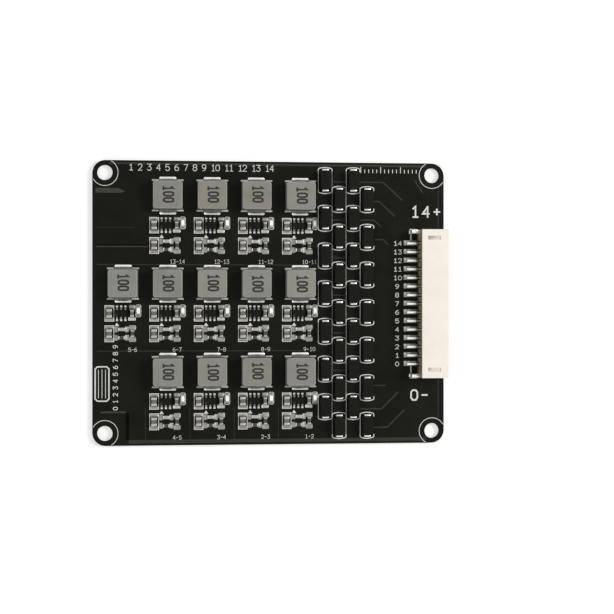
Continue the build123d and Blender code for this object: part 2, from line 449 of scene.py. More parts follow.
def back_pattern(tree, where, mask):
    """Rings round the screw holes, gaps between copper pours, and small covered holes."""
    def calc(operation, *values):
        return math_node(tree, operation, *values)

    def length(u, v):
        return calc("SQRT", calc("ADD", calc("MULTIPLY", u, u), calc("MULTIPLY", v, v)))

    split = tree.nodes.new("ShaderNodeSeparateXYZ")
    link(where, split.inputs["Vector"])
    x, y = (calc("ABSOLUTE", calc("DIVIDE", split.outputs[axis], MM)) for axis in "XY")
    from_screw = length(calc("SUBTRACT", x, HOLE_X), calc("SUBTRACT", y, HOLE_Y))
    ring = calc("COMPARE", from_screw, RING_RADIUS, BACK_RING_HALF)
    upright = calc("COMPARE", calc("PINGPONG", x, BACK_POUR_HALF), BACK_POUR_HALF, BACK_GAP_HALF)
    gap = calc("MAXIMUM", upright, calc("COMPARE", y, BACK_SPLIT_Y, BACK_GAP_HALF))
    u, v = (calc("SUBTRACT", calc("PINGPONG", value, DOT_HALF_PITCH), DOT_HALF_PITCH) for value in (x, y))
    dots = calc("LESS_THAN", length(u, v), DOT_RADIUS)
    patches = calc("GREATER_THAN", noise(tree, where, PATCH_SCALE, 1.0), PATCH_LEVEL)
    holes = calc("MULTIPLY", dots, patches)
    pattern = blend_colors(tree, gap, mask, (0.0035, 0.0035, 0.003))
    pattern = blend_colors(tree, holes, pattern, (0.026, 0.026, 0.022))
    return blend_colors(tree, ring, pattern, (0.6, 0.6, 0.57))


def board_material():
    """Black solder mask on the faces, and the laminate's brown-black layers on the cut edges."""
    material, tree, shader, where = new_material("solder_mask_black")
    slow = noise(tree, where, 160.0, 3.0)
    fine = noise(tree, where, 2600.0, 3.0)
    mask = shades(tree, slow, (0.0056, 0.0060, 0.0040), (0.0084, 0.0089, 0.0062))
    layers = noise(tree, where, 900.0, 4.0, 0.6, stretch=(1.0, 1.0, 9.0))
    cut = shades(tree, layers, (0.012, 0.011, 0.008), (0.05, 0.043, 0.03))
    geometry = tree.nodes.new("ShaderNodeNewGeometry")
    split = tree.nodes.new("ShaderNodeSeparateXYZ")
    link(geometry.outputs["Normal"], split.inputs["Vector"])
    upwards = split.outputs["Z"]
    flat = math_node(tree, "GREATER_THAN", math_node(tree, "ABSOLUTE", upwards), 0.5)
    back = math_node(tree, "LESS_THAN", upwards, -0.5)
    faces = blend_colors(tree, back, mask, back_pattern(tree, where, mask))
    link(blend_colors(tree, flat, cut, faces), shader.inputs["Base Color"])
    rough = tree.nodes.new("ShaderNodeMix")
    link(flat, rough.inputs["Factor"])
    rough.inputs[VALUE_A].default_value = 0.75
    link(spread(tree, slow, 0.30, 0.42), rough.inputs[VALUE_B])
    link(rough.outputs[VALUE_RESULT], shader.inputs["Roughness"])
    shader.inputs["Specular IOR Level"].default_value = 0.06
    add_bump(tree, shader, fine, 0.12)
    return material


def moulding_material(name, color):
    """Pressed iron powder: matt and finely speckled."""
    material, tree, shader, where = new_material(name)
    slow = noise(tree, where, 300.0, 2.0)
    grains = noise(tree, where, 19000.0, 4.0, 0.8)
    base = shades(tree, slow, tone(color, 0.93), tone(color, 1.06))
    speckle = ramp(tree, grains, [(0.32, (0.72,) * 3), (0.5, (1.0,) * 3), (0.68, (1.22,) * 3)])
    link(blend_colors(tree, None, base, speckle), shader.inputs["Base Color"])
    link(spread(tree, grains, 0.5, 0.7), shader.inputs["Roughness"])
    shader.inputs["Specular IOR Level"].default_value = 0.25
    add_bump(tree, shader, grains, 0.16)
    return material


def lens_material():
    """Milky clear resin over the light-emitting chip."""
    material, tree, shader, where = new_material("milky_lens")
    cloud = noise(tree, where, 2500.0, 2.0)
    base = shades(tree, cloud, (0.90, 0.90, 0.85), (0.97, 0.97, 0.93))
    link(base, shader.inputs["Base Color"])
    link(spread(tree, cloud, 0.12, 0.22), shader.inputs["Roughness"])
    set_inputs(shader, {"Subsurface Weight": 0.15, "Subsurface Radius": (1.0, 1.0, 0.9),
                        "Subsurface Scale": 0.0001})
    add_bump(tree, shader, cloud, 0.1)
    return material


def mask_material(name, color, roughness, vary, specular):
    return varied(name, color, roughness, vary, 160.0, 2600.0, 0.05, 0.12, specular=specular)


def tin_material(name, color, roughness, vary, grain, vary_scale=1100.0, bump=0.3):
    return varied(name, color, roughness, vary, vary_scale, 9000.0, grain, bump, metallic=1.0)


# A varied material has its name, colour, roughness and variation, the scales of that and of its grain, and
# the strength of the grain in the colour and in the light.
mask_black = board_material()
# Two paler copies of the inductors' iron powder, as painted highlights on the blocks' rounded edges and on
# the lugs' tops
block_edge_highlight = moulding_material("iron_powder_edge_highlight", (0.31, 0.307, 0.275))
lug_top_highlight = moulding_material("iron_powder_lug_highlight", (0.40, 0.396, 0.362))
mask_on_copper = mask_material("solder_mask_on_copper", (0.029, 0.030, 0.024), 0.38, 0.12, 0.12)
# A paler mask, over pours at the board's left edge and as a painted sheen under the upper left screw hole
mask_on_pour_and_sheen = mask_material("solder_mask_on_pour_and_sheen", (0.042, 0.043, 0.036), 0.38, 0.12, 0.12)
mask_in_gap = mask_material("solder_mask_in_gap", (0.0016, 0.0016, 0.0012), 0.5, 0.10, 0.03)
legend_white = varied("legend_white", (0.64, 0.64, 0.61), 0.6, 0.12, 700.0, 12000.0, 0.12, 0.2, specular=0.3)
epoxy_black = varied("epoxy_black", (0.0053, 0.0056, 0.0037), 0.5, 0.15, 500.0, 14000.0, 0.25, 0.35,
                     specular=0.08)
laser_mark = varied("laser_mark", (0.06, 0.06, 0.058), 0.6, 0.15, 900.0, 14000.0, 0.2, 0.2, specular=0.2)
solder_bright = varied("solder_bright", (0.80, 0.80, 0.78), 0.30, 0.06, 1500.0, 7000.0, 0.08, 0.3,
                       0.00003, metallic=1.0)
# A darker solder, as painted shade on the inductors' lower joints, and the plain tone of the converters'
# joints
solder_soft_and_shade = varied("solder_soft_and_shade", (0.55, 0.55, 0.52), 0.36, 0.08, 1500.0, 7000.0, 0.10, 0.3,
                     0.00003, metallic=1.0)
solder_satin = varied("solder_satin", (0.25, 0.25, 0.232), 0.5, 0.16, 1300.0, 6000.0, 0.14, 0.45,
                      0.00004, metallic=1.0)
tin_plate = tin_material("tin_plate", (0.72, 0.715, 0.69), 0.34, 0.07, 0.08)
# Tinned caps of chips and lamps, and also a painted highlight on some solder joints
tin_cap_and_highlight = tin_material("tin_cap_and_highlight", (0.39, 0.385, 0.363), 0.40, 0.08, 0.10, vary_scale=1500.0)
tin_bright = tin_material("tin_bright", (0.90, 0.895, 0.87), 0.30, 0.04, 0.06, bump=0.25)
tin_lead = tin_material("tin_lead", (0.33, 0.325, 0.305), 0.42, 0.10, 0.12)
# A darker tin, as painted shade on the contacts' legs inside the header's slots
tin_shade_in_slots = tin_material("tin_shade_in_slots", (0.16, 0.155, 0.14), 0.45, 0.12, 0.12)
tin_shaded = tin_material("tin_shaded", (0.14, 0.136, 0.124), 0.45, 0.12, 0.12)
ceramic_tan = varied("ceramic_tan", (0.115, 0.104, 0.084), 0.55, 0.10, 1200.0, 12000.0, 0.12, 0.25)
alumina_white = varied("alumina_white", (0.38, 0.375, 0.352), 0.6, 0.06, 1500.0, 12000.0, 0.08, 0.2)
glaze_black = varied("glaze_black", (0.030, 0.030, 0.032), 0.3, 0.15, 1500.0, 9000.0, 0.1, 0.15)
led_base_white = varied("led_base_white", (0.72, 0.72, 0.69), 0.5, 0.05, 1500.0, 9000.0, 0.06, 0.15)
lens_milky = lens_material()
ivory_nylon = varied("ivory_nylon", (0.80, 0.75, 0.675), 0.48, 0.025, 260.0, 7000.0, 0.03, 0.22, 0.00003,
                     specular=0.35)
# Darker copies of the nylon, as painted shade on the header's rear wall and deeper painted shade in its
# slots
nylon_rear_wall_shade = varied("nylon_rear_wall_shade", (0.27, 0.22, 0.16), 0.55, 0.10, 420.0, 7000.0, 0.08, 0.22, 0.00003)
nylon_slot_shade = varied("nylon_slot_shade", (0.10, 0.078, 0.055), 0.6, 0.10, 420.0, 7000.0, 0.08, 0.22, 0.00003)
ink_dark = varied("marking_ink_dark", (0.030, 0.029, 0.026), 0.65, 0.15, 900.0, 12000.0, 0.25, 0.2,
                  specular=0.2)

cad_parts["circuit_board"].data.materials.clear()
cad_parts["circuit_board"].data.materials.append(mask_black)


# Inductors and converters

# The inductor's block and lugs, as in the CAD, measured from its centre
BLOCK_X, BLOCK_Y, BLOCK_TOP, BLOCK_CUT = 3.3, 3.15, 3.0, 0.4
LUG_X, LUG_INNER_X, LUG_Y, LUG_INNER_Y, LUG_TOP = 3.6, 2.02, 3.65, 3.27, 1.0
# The block's underside, and a thin skirt under it that ends just inside the lugs
UNDERSIDE = 0.2
SKIRT_OUT, SKIRT_IN, SKIRT_TOP = 0.06, 0.04, 0.45
# A converter's mark, from two sides of its body
MARK_IN = 0.42
MARK_RADIUS = 0.15


def stage_centre(number):
    low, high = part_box(f"inductor_{number:02d}")
    return (low.x + high.x) / 2 / MM, (low.y + high.y) / 2 / MM


def build_inductor(number):
    """The moulded block in its own shade of grey, with painted highlights on its rounded edges, and four low
    lugs with painted highlights on their tops.
    """
    warm = random.uniform(-0.3, 1)
    light = random.uniform(0.92, 1.06)
    color = (0.230 * light * (1 + 0.03 * warm), 0.228 * light, 0.204 * light * (1 - 0.07 * warm))
    x, y = stage_centre(number)
    bm = bmesh.new()
    outline = outline_box(x - BLOCK_X, x + BLOCK_X, y - BLOCK_Y, y + BLOCK_Y, BLOCK_CUT)
    add_prism(bm, outline, DECK + UNDERSIDE, DECK + BLOCK_TOP, 0.16, 3)
    bm.normal_update()
    # The rounded edges between the top and the sides get a paler copy of the moulding, a painted highlight
    for face in bm.faces:
        face.material_index = 1 if 0.15 < face.normal.z < 0.97 else 0
    xs = (x - BLOCK_X - SKIRT_OUT, x + BLOCK_X + SKIRT_OUT)
    ys = (y - LUG_Y + SKIRT_IN, y + LUG_Y - SKIRT_IN)
    add_prism(bm, outline_box(*xs, *ys), DECK + UNDERSIDE, DECK + SKIRT_TOP, 0.05)
    for side_x in (-1, 1):
        for side_y in (-1, 1):
            xs = span(x, side_x, LUG_INNER_X, LUG_X)
            ys = span(y, side_y, LUG_INNER_Y, LUG_Y)
            add_prism(bm, outline_box(*xs, *ys), DECK, DECK + LUG_TOP, 0.08)
    # The lugs' tops get a paler copy of the moulding, a painted highlight
    for face in bm.faces:
        middle = face.calc_center_median()
        if abs(middle.y - y) > LUG_INNER_Y - 0.02 and middle.z > DECK + LUG_TOP / 2:
            face.material_index = 2
    materials = [moulding_material(f"iron_powder_{number:02d}", color), block_edge_highlight, lug_top_highlight]
    node = f"inductor_{number:02d}"
    make_piece(f"inductor_block_{number:02d}", bm, materials, [node])


def build_converter_marks():
    """A faint round mark on each converter beside its first lead."""
    bm = bmesh.new()
    angles = [math.pi * step / 8 for step in range(16)]
    for number in STAGES:
        low, high = (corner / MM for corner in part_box(f"balancer_ic_{number:02d}"))
        x, y = low.x + MARK_IN, low.y + MARK_IN
        circle = [(x + MARK_RADIUS * math.cos(a), y + MARK_RADIUS * math.sin(a)) for a in angles]
        add_flat(bm, circle, high.z - MARK_SUNK)
    raise_flat(bm, MARK_THICKNESS)
    make_piece("converter_marks", bm, [laser_mark])


# Chips and lamps

CHIP_ROUND = 0.05
CAP_ROUND = 0.09
# A resistor's glaze, from the ends, the sides and the board
GLAZE_END, GLAZE_SIDE, GLAZE_START = 0.34, 0.03, 0.36
# A lamp's base, the lens on it, and the tinned ends
LAMP_BASE = 0.25
LENS_END, LENS_SIDE, LENS_SUNK = 0.25, 0.01, 0.02
LAMP_CAP_SIDE, LAMP_CAP_LENGTH, LAMP_CAP_PROUD = 0.12, 0.15, 0.012


def is_upright(low, high):
    return high.y - low.y > high.x - low.x


def add_chip(bm, low, high, cap_share, drop):
    """A chip's body with a rounded, wrapped cap on each of its ends."""
    axis = 1 if is_upright(low, high) else 0
    length = (high - low)[axis] * cap_share
    inset = Vector((drop, drop, 0))
    inset[axis] = length * 0.5
    add_block(bm, low + inset, high - inset - Vector((0, 0, drop)), CHIP_ROUND)
    near = Vector(high)
    near[axis] = low[axis] + length
    add_block(bm, low, near, CAP_ROUND, 3, 1)
    far = Vector(low)
    far[axis] = high[axis] - length
    add_block(bm, far, high, CAP_ROUND, 3, 1)


def build_capacitors(row):
    """Plain fired ceramic with tinned caps, two bulk ones and a small one in each stage."""
    for kind, share, drop in (("bulk", 0.30, 0.045), ("small", 0.24, 0.035)):
        node = f"{kind}_capacitors_{row}_row"
        bm = bmesh.new()
        for low, high in solid_boxes(node):
            add_chip(bm, low, high, share, drop)
        make_piece(f"{kind}_chip_capacitors_{row}", bm, [ceramic_tan, tin_cap_and_highlight], [node])


def build_resistors(row):
    """Black glaze on the upright chip and the lower lying one. The upper lying one has a pale top."""
    node = f"resistors_{row}_row"
    boxes = solid_boxes(node)
    middle = [(low.y + high.y) / 2 for low, high in boxes if is_upright(low, high)][0]
    bm = bmesh.new()
    for low, high in boxes:
        upright = is_upright(low, high)
        add_chip(bm, low, high, 0.2, 0.03)
        if low.y > middle and not upright:
            continue
        inset = Vector((GLAZE_SIDE, GLAZE_END, 0) if upright else (GLAZE_END, GLAZE_SIDE, 0))
        add_block(bm, low + inset + Vector((0, 0, GLAZE_START)), high - inset, 0.03, 2, 2)
    make_piece(f"chip_resistors_{row}", bm, [alumina_white, tin_cap_and_highlight, glaze_black], [node])


def build_leds(row):
    """A white base with tinned ends, and a domed milky lens on it."""
    node = f"indicator_leds_{row}_row"
    bm = bmesh.new()
    for low, high in solid_boxes(node):
        base_top = low.z + LAMP_BASE
        add_block(bm, low, Vector((high.x, high.y, base_top)), 0.03)
        lens_low = Vector((low.x + LENS_SIDE, low.y + LENS_END, base_top - LENS_SUNK))
        lens_high = Vector((high.x - LENS_SIDE, high.y - LENS_END, high.z))
        add_block(bm, lens_low, lens_high, 0.11, 4, 1)
        for end in (low.y - 0.01, high.y - 0.14):
            cap_low = Vector((low.x + LAMP_CAP_SIDE, end, low.z))
            cap_high = Vector((high.x - LAMP_CAP_SIDE, end + LAMP_CAP_LENGTH, base_top + LAMP_CAP_PROUD))
            add_block(bm, cap_low, cap_high, 0.02, 1, 2)
    make_piece(f"indicator_lights_{row}", bm, [led_base_white, lens_milky, tin_cap_and_highlight], [node])


# Solder of the stages

# A chip's pad: how far it reaches out, how much wider it is on each side, and how high its solder climbs
BULK_CAPACITOR_PAD = (0.68, 0.29, 0.72)
LAMP_PAD = (0.34, 0.08, 0.14)
LYING_RESISTOR_PAD = (0.82, 0.25, 0.30)
UPRIGHT_RESISTOR_PAD = (1.10, 0.38, 0.30)
SMALL_CAPACITOR_UPPER_PAD = (1.10, 0.25, 0.50)
SMALL_CAPACITOR_LOWER_PAD = (0.88, 0.45, 0.50)
CONVERTER_PAD = (0.36, 0.06, 0.1)
# How far solder reaches in over a chip's cap, and over a converter's lead
CAP_OVERLAP = 0.05
LEAD_OVERLAP = 0.1
# An inductor's pads: side, half width, start and end from the inductor's centre, and material, the lower
# pads having a darker solder as painted shade
INDUCTOR_PADS = ((1, 1.92, 3.60, 4.32, 0), (-1, 1.88, 3.60, 4.30, 1))
INDUCTOR_CLIMB = 0.66
INDUCTOR_POWER = 2.4


def add_end_solder(bm, low, high, axis, side, pad, overlap=CAP_OVERLAP):
    """Solder on one end of a chip or lead that lies along an axis. side is 1 or -1."""
    out, grow, peak = pad
    end = (high if side > 0 else low)[axis]
    ends = span(end, side, -overlap, out)
    sides = (low[1 - axis] - grow, high[1 - axis] + grow)
    if axis == 0:
        add_solder(bm, *ends, *sides, (-side, 0), peak)
    else:
        add_solder(bm, *sides, *ends, (0, -side), peak)


def add_chip_solder(bm, low, high, pad):
    """Solder on both ends of a chip."""
    for side in (-1, 1):
        add_end_solder(bm, low, high, 1 if is_upright(low, high) else 0, side, pad)


def build_inductor_solder(row):
    """Bright solder above each inductor, and a darker solder below it as painted shade."""
    bm = bmesh.new()
    for number in NUMBERS[row]:
        x, y = stage_centre(number)
        for side, half, start, end, material in INDUCTOR_PADS:
            old = len(bm.faces)
            ys = span(y, side, start, end)
            add_solder(bm, x - half, x + half, *ys, (0, -side), INDUCTOR_CLIMB, INDUCTOR_POWER)
            paint_since(bm, old, material)
    make_piece(f"inductor_solder_{row}", bm, [solder_bright, solder_soft_and_shade])


def build_chip_solder(row):
    """The joints of a row's chips, lamps and converters, in three tones, the paler tin on the small
    capacitors' lower joints being a painted highlight.
    """
    bm = bmesh.new()
    for kind, pad in (("bulk_capacitors", BULK_CAPACITOR_PAD), ("indicator_leds", LAMP_PAD)):
        for low, high in solid_boxes(f"{kind}_{row}_row"):
            add_chip_solder(bm, low, high, pad)
    for low, high in solid_boxes(f"resistors_{row}_row"):
        pad = UPRIGHT_RESISTOR_PAD if is_upright(low, high) else LYING_RESISTOR_PAD
        add_chip_solder(bm, low, high, pad)
    small_capacitors = solid_boxes(f"small_capacitors_{row}_row")
    for low, high in small_capacitors:
        add_end_solder(bm, low, high, 1, 1, SMALL_CAPACITOR_UPPER_PAD)
    # The small capacitors' lower joints get a paler tin, a painted highlight
    old = len(bm.faces)
    for low, high in small_capacitors:
        add_end_solder(bm, low, high, 1, -1, SMALL_CAPACITOR_LOWER_PAD)
    paint_since(bm, old, 2)
    low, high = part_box(f"balancer_ic_{NUMBERS[row][0]:02d}")
    middle = (low.y + high.y) / 2 / MM
    old = len(bm.faces)
    for low, high in solid_boxes(f"balancer_ic_leads_{row}_row"):
        add_end_solder(bm, low, high, 1, 1 if low.y > middle else -1, CONVERTER_PAD, LEAD_OVERLAP)
    paint_since(bm, old, 1)
    make_piece(f"chip_solder_{row}", bm, [solder_satin, solder_soft_and_shade, tin_cap_and_highlight])


for number in STAGES:
    build_inductor(number)
    node = f"balancer_ic_{number:02d}"
    build_rounded(f"converter_body_{number:02d}", node, epoxy_black, 0.035, least_angle=10.0)
build_converter_marks()
for row in ROWS:
    node = f"inductor_terminals_{row}_row"
    build_rounded(f"inductor_terminals_bent_{row}", node, tin_shaded, 0.06)
    node = f"balancer_ic_leads_{row}_row"
    build_rounded(f"converter_leads_bent_{row}", node, tin_lead, 0.03, 1)
    build_capacitors(row)
    build_resistors(row)
    build_leds(row)
    build_inductor_solder(row)
    build_chip_solder(row)


# Diodes

# How far each lead shows past the body, and its solder past the lead
DIODE_LEAD_REACH = 0.42
DIODE_TOE = 0.1
DIODE_PAD_HALF = 0.79


def build_diodes(column):
    """The mouldings, the folded leads and the solder of one column."""
    bodies = f"diode_bodies_column_{column}"
    leads = f"diode_leads_column_{column}"
    build_rounded(f"diode_mouldings_{column}", bodies, epoxy_black, 0.09, least_angle=4.0)
    build_rounded(f"diode_leads_bent_{column}", leads, tin_plate, 0.07)
    bm = bmesh.new()
    for low, high in solid_boxes(bodies):
        x, y = (low.x + high.x) / 2, (low.y + high.y) / 2
        lead_end = (high.y - low.y) / 2 + DIODE_LEAD_REACH
        for side in (1, -1):
            ys = span(y, side, lead_end - CAP_OVERLAP, lead_end + DIODE_TOE)
            add_solder(bm, x - DIODE_PAD_HALF, x + DIODE_PAD_HALF, *ys, (0, -side), 0.32, 2.5)
    make_piece(f"diode_solder_{column}", bm, [solder_satin])


for column in DIODE_COLUMNS:
    build_diodes(column)


# Header

# The header's rear wall, its slots and the arms behind it, as in the CAD
REAR_X = 34.3
SLOT_FLOOR_X = 35.2
SLOT_TOP = DECK + 4.5
ARM_BACK = 32.6
ARM_WIDTH = 0.75
ARM_TOP = DECK + 2.6
# The straps over the arms
STRAP_IN, STRAP_SUNK, STRAP_THICKNESS = 0.08, 0.02, 0.12
STRAP_START = DECK + 0.2
# Where the contacts' legs lie in the shade
LEG_X = 33.95
LEG_Z = DECK + 0.3
# The contacts' pads, which lie a little above the contacts' middles, and the length of the painted highlight
# on their toes
PAD_LEFT, PAD_RIGHT, PAD_HALF, PAD_RAISED = 31.06, 34.28, 0.58, 0.13
TOE_HIGHLIGHT_LENGTH = 1.3

contacts = solid_boxes("header_contacts")
header_ends = [corner.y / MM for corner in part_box("header_housing")]


def build_shroud():
    """The housing, with painted shade on its rear wall and darker painted shade in its slots."""
    bm = merged_copy("header_housing")
    soften(bm, 0.1, 2, 30.0, wanted=lambda edge: edge.calc_length() > 5.0)
    for face in bm.faces:
        middle = face.calc_center_median()
        in_slot = REAR_X + 0.1 < middle.x < SLOT_FLOOR_X + 0.1 and middle.z < SLOT_TOP + 0.1
        # Painted shade on the rear wall, and darker painted shade on the walls inside the slots
        if face.normal.x < -0.7 and REAR_X - 0.1 < middle.x < REAR_X + 0.1:
            face.material_index = 1
        elif in_slot and abs(face.normal.z) < 0.7:
            face.material_index = 2
    nylons = [ivory_nylon, nylon_rear_wall_shade, nylon_slot_shade]
    make_piece("header_shroud", bm, nylons, ["header_housing"])


def build_straps():
    """A thin strap over each rear arm of the housing and down its back."""
    bm = bmesh.new()
    top = ARM_TOP + STRAP_THICKNESS
    for side, end in zip((-1, 1), header_ends):
        ys = span(end, side, -STRAP_IN, STRAP_IN - ARM_WIDTH)
        strap_low = Vector((ARM_BACK - STRAP_THICKNESS, ys[0], STRAP_START))
        add_block(bm, strap_low, Vector((ARM_BACK + STRAP_SUNK, ys[1], top)), 0.04)
        add_block(bm, Vector((ARM_BACK, ys[0], ARM_TOP - STRAP_SUNK)), Vector((REAR_X, ys[1], top)), 0.04)
    make_piece("header_tab_straps", bm, [tin_bright])


def build_pins():
    """The bent contacts, with a darker tin as painted shade where they stand in the housing's slots."""
    bm = merged_copy("header_contacts")
    soften(bm, 0.05, 2)
    everything = bm.verts[:] + bm.edges[:] + bm.faces[:]
    bmesh.ops.bisect_plane(bm, geom=everything, plane_co=(LEG_X, 0, 0), plane_no=(1, 0, 0))
    for face in bm.faces:
        middle = face.calc_center_median()
        shaded = LEG_X < middle.x < SLOT_FLOOR_X + 0.1 and middle.z > LEG_Z
        face.material_index = 1 if shaded else 0
    make_piece("header_pins", bm, [tin_bright, tin_shade_in_slots], ["header_contacts"])


def build_header_solder():
    """Solder round the feet of the contacts and at the arms, with a paler tin at the upper side of each toe
    as a painted highlight.
    """
    bm = bmesh.new()
    for low, high in contacts:
        middle = (low.y + high.y) / 2 + PAD_RAISED
        bottom, top = middle - PAD_HALF, middle + PAD_HALF
        add_solder(bm, PAD_LEFT, low.x + CAP_OVERLAP, bottom, top, (1, 0), 0.34)
        add_solder(bm, low.x, PAD_RIGHT, high.y - CAP_OVERLAP, top, (0, -1), 0.36, 2.2)
        add_solder(bm, low.x, PAD_RIGHT, bottom, low.y + CAP_OVERLAP, (0, 1), 0.3, 2.2)
    for side, end in zip((-1, 1), header_ends):
        ys = span(end, side, 0.05, -ARM_WIDTH - 0.05)
        add_solder(bm, ARM_BACK - 0.28, ARM_BACK - 0.1, *ys, (1, 0), 0.35, 2.5)
    # The upper side of each toe gets a paler tin, a painted highlight
    feet = [(low.y + high.y) / 2 for low, high in contacts]
    for face in bm.faces:
        spot = face.calc_center_median()
        foot = min(feet, key=lambda y: abs(y - spot.y))
        if spot.x < PAD_LEFT + TOE_HIGHLIGHT_LENGTH and spot.y > foot + 0.2 and abs(spot.y) < feet[-1] + 1.0:
            face.material_index = 1
    make_piece("header_solder", bm, [solder_satin, tin_cap_and_highlight])


build_shroud()
build_straps()
build_pins()
build_rounded("header_tabs", "header_hold_downs", tin_plate, 0.04)
build_header_solder()


# Signs

def ring_sign(left, right, bottom, low, high, top):
    """A closed round stroke, straight between low and high."""
    return [(0.14, bottom), (0.46, bottom), (right, low), (right, high), (0.46, top), (0.14, top),
            (left, high), (left, low), (0.14, bottom)]


# Each sign is a list of lines in a cell 0.6 wide and 1 high.
SIGNS = {
    "0": [ring_sign(0.0, 0.6, 0.04, 0.25, 0.75, 0.96)],
    "1": [[(0.12, 0.78), (0.34, 1.0), (0.34, 0.0)], [(0.12, 0.0), (0.56, 0.0)]],
    "2": [[(0.0, 0.8), (0.14, 1.0), (0.46, 1.0), (0.6, 0.8), (0.6, 0.62), (0.0, 0.0), (0.6, 0.0)]],
    "3": [[(0.0, 1.0), (0.6, 1.0), (0.26, 0.6), (0.46, 0.58), (0.6, 0.4), (0.6, 0.2), (0.46, 0.0),
           (0.14, 0.0), (0.0, 0.16)]],
    "4": [[(0.46, 0.0), (0.46, 0.94)], [(0.46, 1.0), (0.0, 0.32), (0.6, 0.32)]],
    "5": [[(0.56, 1.0), (0.06, 1.0), (0.0, 0.55), (0.14, 0.62), (0.44, 0.62), (0.6, 0.44), (0.6, 0.2),
           (0.46, 0.0), (0.14, 0.0), (0.0, 0.16)]],
    "6": [[(0.5, 1.0), (0.2, 0.9), (0.0, 0.55), (0.0, 0.35)], ring_sign(0.0, 0.6, 0.0, 0.2, 0.4, 0.58)],
    "7": [[(0.0, 1.0), (0.6, 1.0), (0.2, 0.0)]],
    "8": [ring_sign(0.02, 0.58, 0.54, 0.7, 0.86, 1.0), ring_sign(0.0, 0.6, 0.0, 0.18, 0.36, 0.54)],
    "9": [[(0.1, 0.0), (0.4, 0.1), (0.6, 0.45), (0.6, 0.65)], ring_sign(0.0, 0.6, 0.42, 0.6, 0.8, 1.0)],
    "-": [[(0.06, 0.5), (0.54, 0.5)]],
    "+": [[(0.04, 0.5), (0.56, 0.5)], [(0.3, 0.24), (0.3, 0.76)]],
    " ": [],
}


def add_sign_text(bm, text, x, y, height, line, z=DECK, turn=0, pitch=0.86, widen=1.0):
    """Writes text from its lower left corner. turn counts quarter turns against the clock."""
    angle = turn * math.pi / 2
    c, s = math.cos(angle), math.sin(angle)
    for place, sign in enumerate(text):
        for order, stroke in enumerate(SIGNS[sign]):
            path = []
            for u, v in stroke:
                along = (place * pitch + u) * height * widen
                up = v * height
                path.append((x + along * c - up * s, y + along * s + up * c))
            add_ribbon(bm, path, line, z, lift=0.002 * order)


def build_inductor_marks():
    """The dark value mark on each block, read from the right-hand side."""
    bm = bmesh.new()
    for number in STAGES:
        x, y = stage_centre(number)
        shift = random.uniform(-0.2, 0.2)
        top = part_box(f"inductor_{number:02d}")[1].z / MM
        add_sign_text(bm, "100", x - 0.95, y + 1.95 + shift, height=2.32, line=0.43, z=top - MARK_SUNK,
                      turn=3, pitch=0.95, widen=0.61)
    raise_flat(bm, MARK_THICKNESS)
    make_piece("inductor_value_marks", bm, [ink_dark])


# Printed legend

# A stage's printing, from its inductor's centre. Outlines have left, right, bottom, top, cut of the corners,
# and width of the line.
STAGE_OUTLINES = (
    (-4.1, -2.1, -8.52, -5.0, 0.0, 0.17),
    (-4.1, -2.1, -13.2, -9.58, 0.0, 0.17),
    (2.84, 4.0, -7.54, -4.83, 0.22, 0.12),
)
FIRST_LEAD_MARK = ((-1.95, -9.64), (-0.9, -9.64), (-1.42, -8.9))
LABEL_MIDDLE, LABEL_BOTTOM, LABEL_HALF_STEP = 2.2, -15.45, 0.34
# The printed lines at the left and right of each column of diodes, by their width
SIDE_LINES = {1: (0.14, 0.05), 2: (0.05, 0.08), 3: (0.13, 0.0), 4: (0.17, 0.0)}
OUTLINE_HALF, OUTLINE_SHOULDER, OUTLINE_APEX, OUTLINE_HOOK = 1.6, 2.55, 3.02, 2.1
# The contacts' numbers, and the lines at the housing's arms
ONE_DIGIT_X, TWO_DIGITS_X = 29.15, 28.75
ARM_LINE_LEFT, ARM_LINE_X, ARM_LINE_RIGHT = 32.55, 32.75, 34.2
# How near the rings come to the board's edges, then the scale, and the write-on box
PRINT_MARGIN = 0.16
SCALE_START, SCALE_BOTTOM, SCALE_PITCH = 21.0, 30.2, 0.93
SHORT_TICK, TALL_TICK = 0.7, 1.3
WRITE_ON_BOX = (-39.85, -36.75, -22.3, -14.5)
WRITE_ON_LINES = (-39.11, -38.32, -37.53)
WRITE_ON_BOTTOM, WRITE_ON_TOP = -21.6, -15.2


def print_piece(name, bm):
    """Raises flat printing and makes it a piece."""
    raise_flat(bm, INK_THICKNESS)
    make_piece(name, bm, [legend_white])


def build_stage_legend(row):
    """Outlines, a triangle at the converter's first lead, and the numbers of the stage's two cells."""
    bm = bmesh.new()
    for number in NUMBERS[row]:
        x, y = stage_centre(number)
        for left, right, bottom, top, cut, line in STAGE_OUTLINES:
            add_ribbon(bm, outline_box(x + left, x + right, y + bottom, y + top, cut), line)
        add_flat(bm, [(x + u, y + v) for u, v in FIRST_LEAD_MARK])
        label = f"{number}-{number + 1}"
        start = x + LABEL_MIDDLE - LABEL_HALF_STEP * len(label)
        add_sign_text(bm, label, start, y + LABEL_BOTTOM, height=0.85, line=0.09, pitch=0.82)
    print_piece(f"legend_stages_{row}", bm)


def add_diode_outline(bm, x, y, column):
    """Two arched ends, and the straight sides that the column shows."""
    for end in (1, -1):
        arch = [(OUTLINE_HALF, OUTLINE_HOOK)]
        for step in range(9):
            angle = math.pi * step / 8
            rise = (OUTLINE_APEX - OUTLINE_SHOULDER) * math.sin(angle)
            arch.append((OUTLINE_HALF * math.cos(angle), OUTLINE_SHOULDER + rise))
        arch.append((-OUTLINE_HALF, OUTLINE_HOOK))
        add_ribbon(bm, [(x + u, y + end * v) for u, v in arch], 0.21, lift=0.003 * column)
    for side, width in zip((-1, 1), SIDE_LINES[column]):
        if width:
            line = [(x + side * OUTLINE_HALF, y + end * OUTLINE_HOOK) for end in (1, -1)]
            add_ribbon(bm, line, width, lift=0.003 * column + 0.0015)


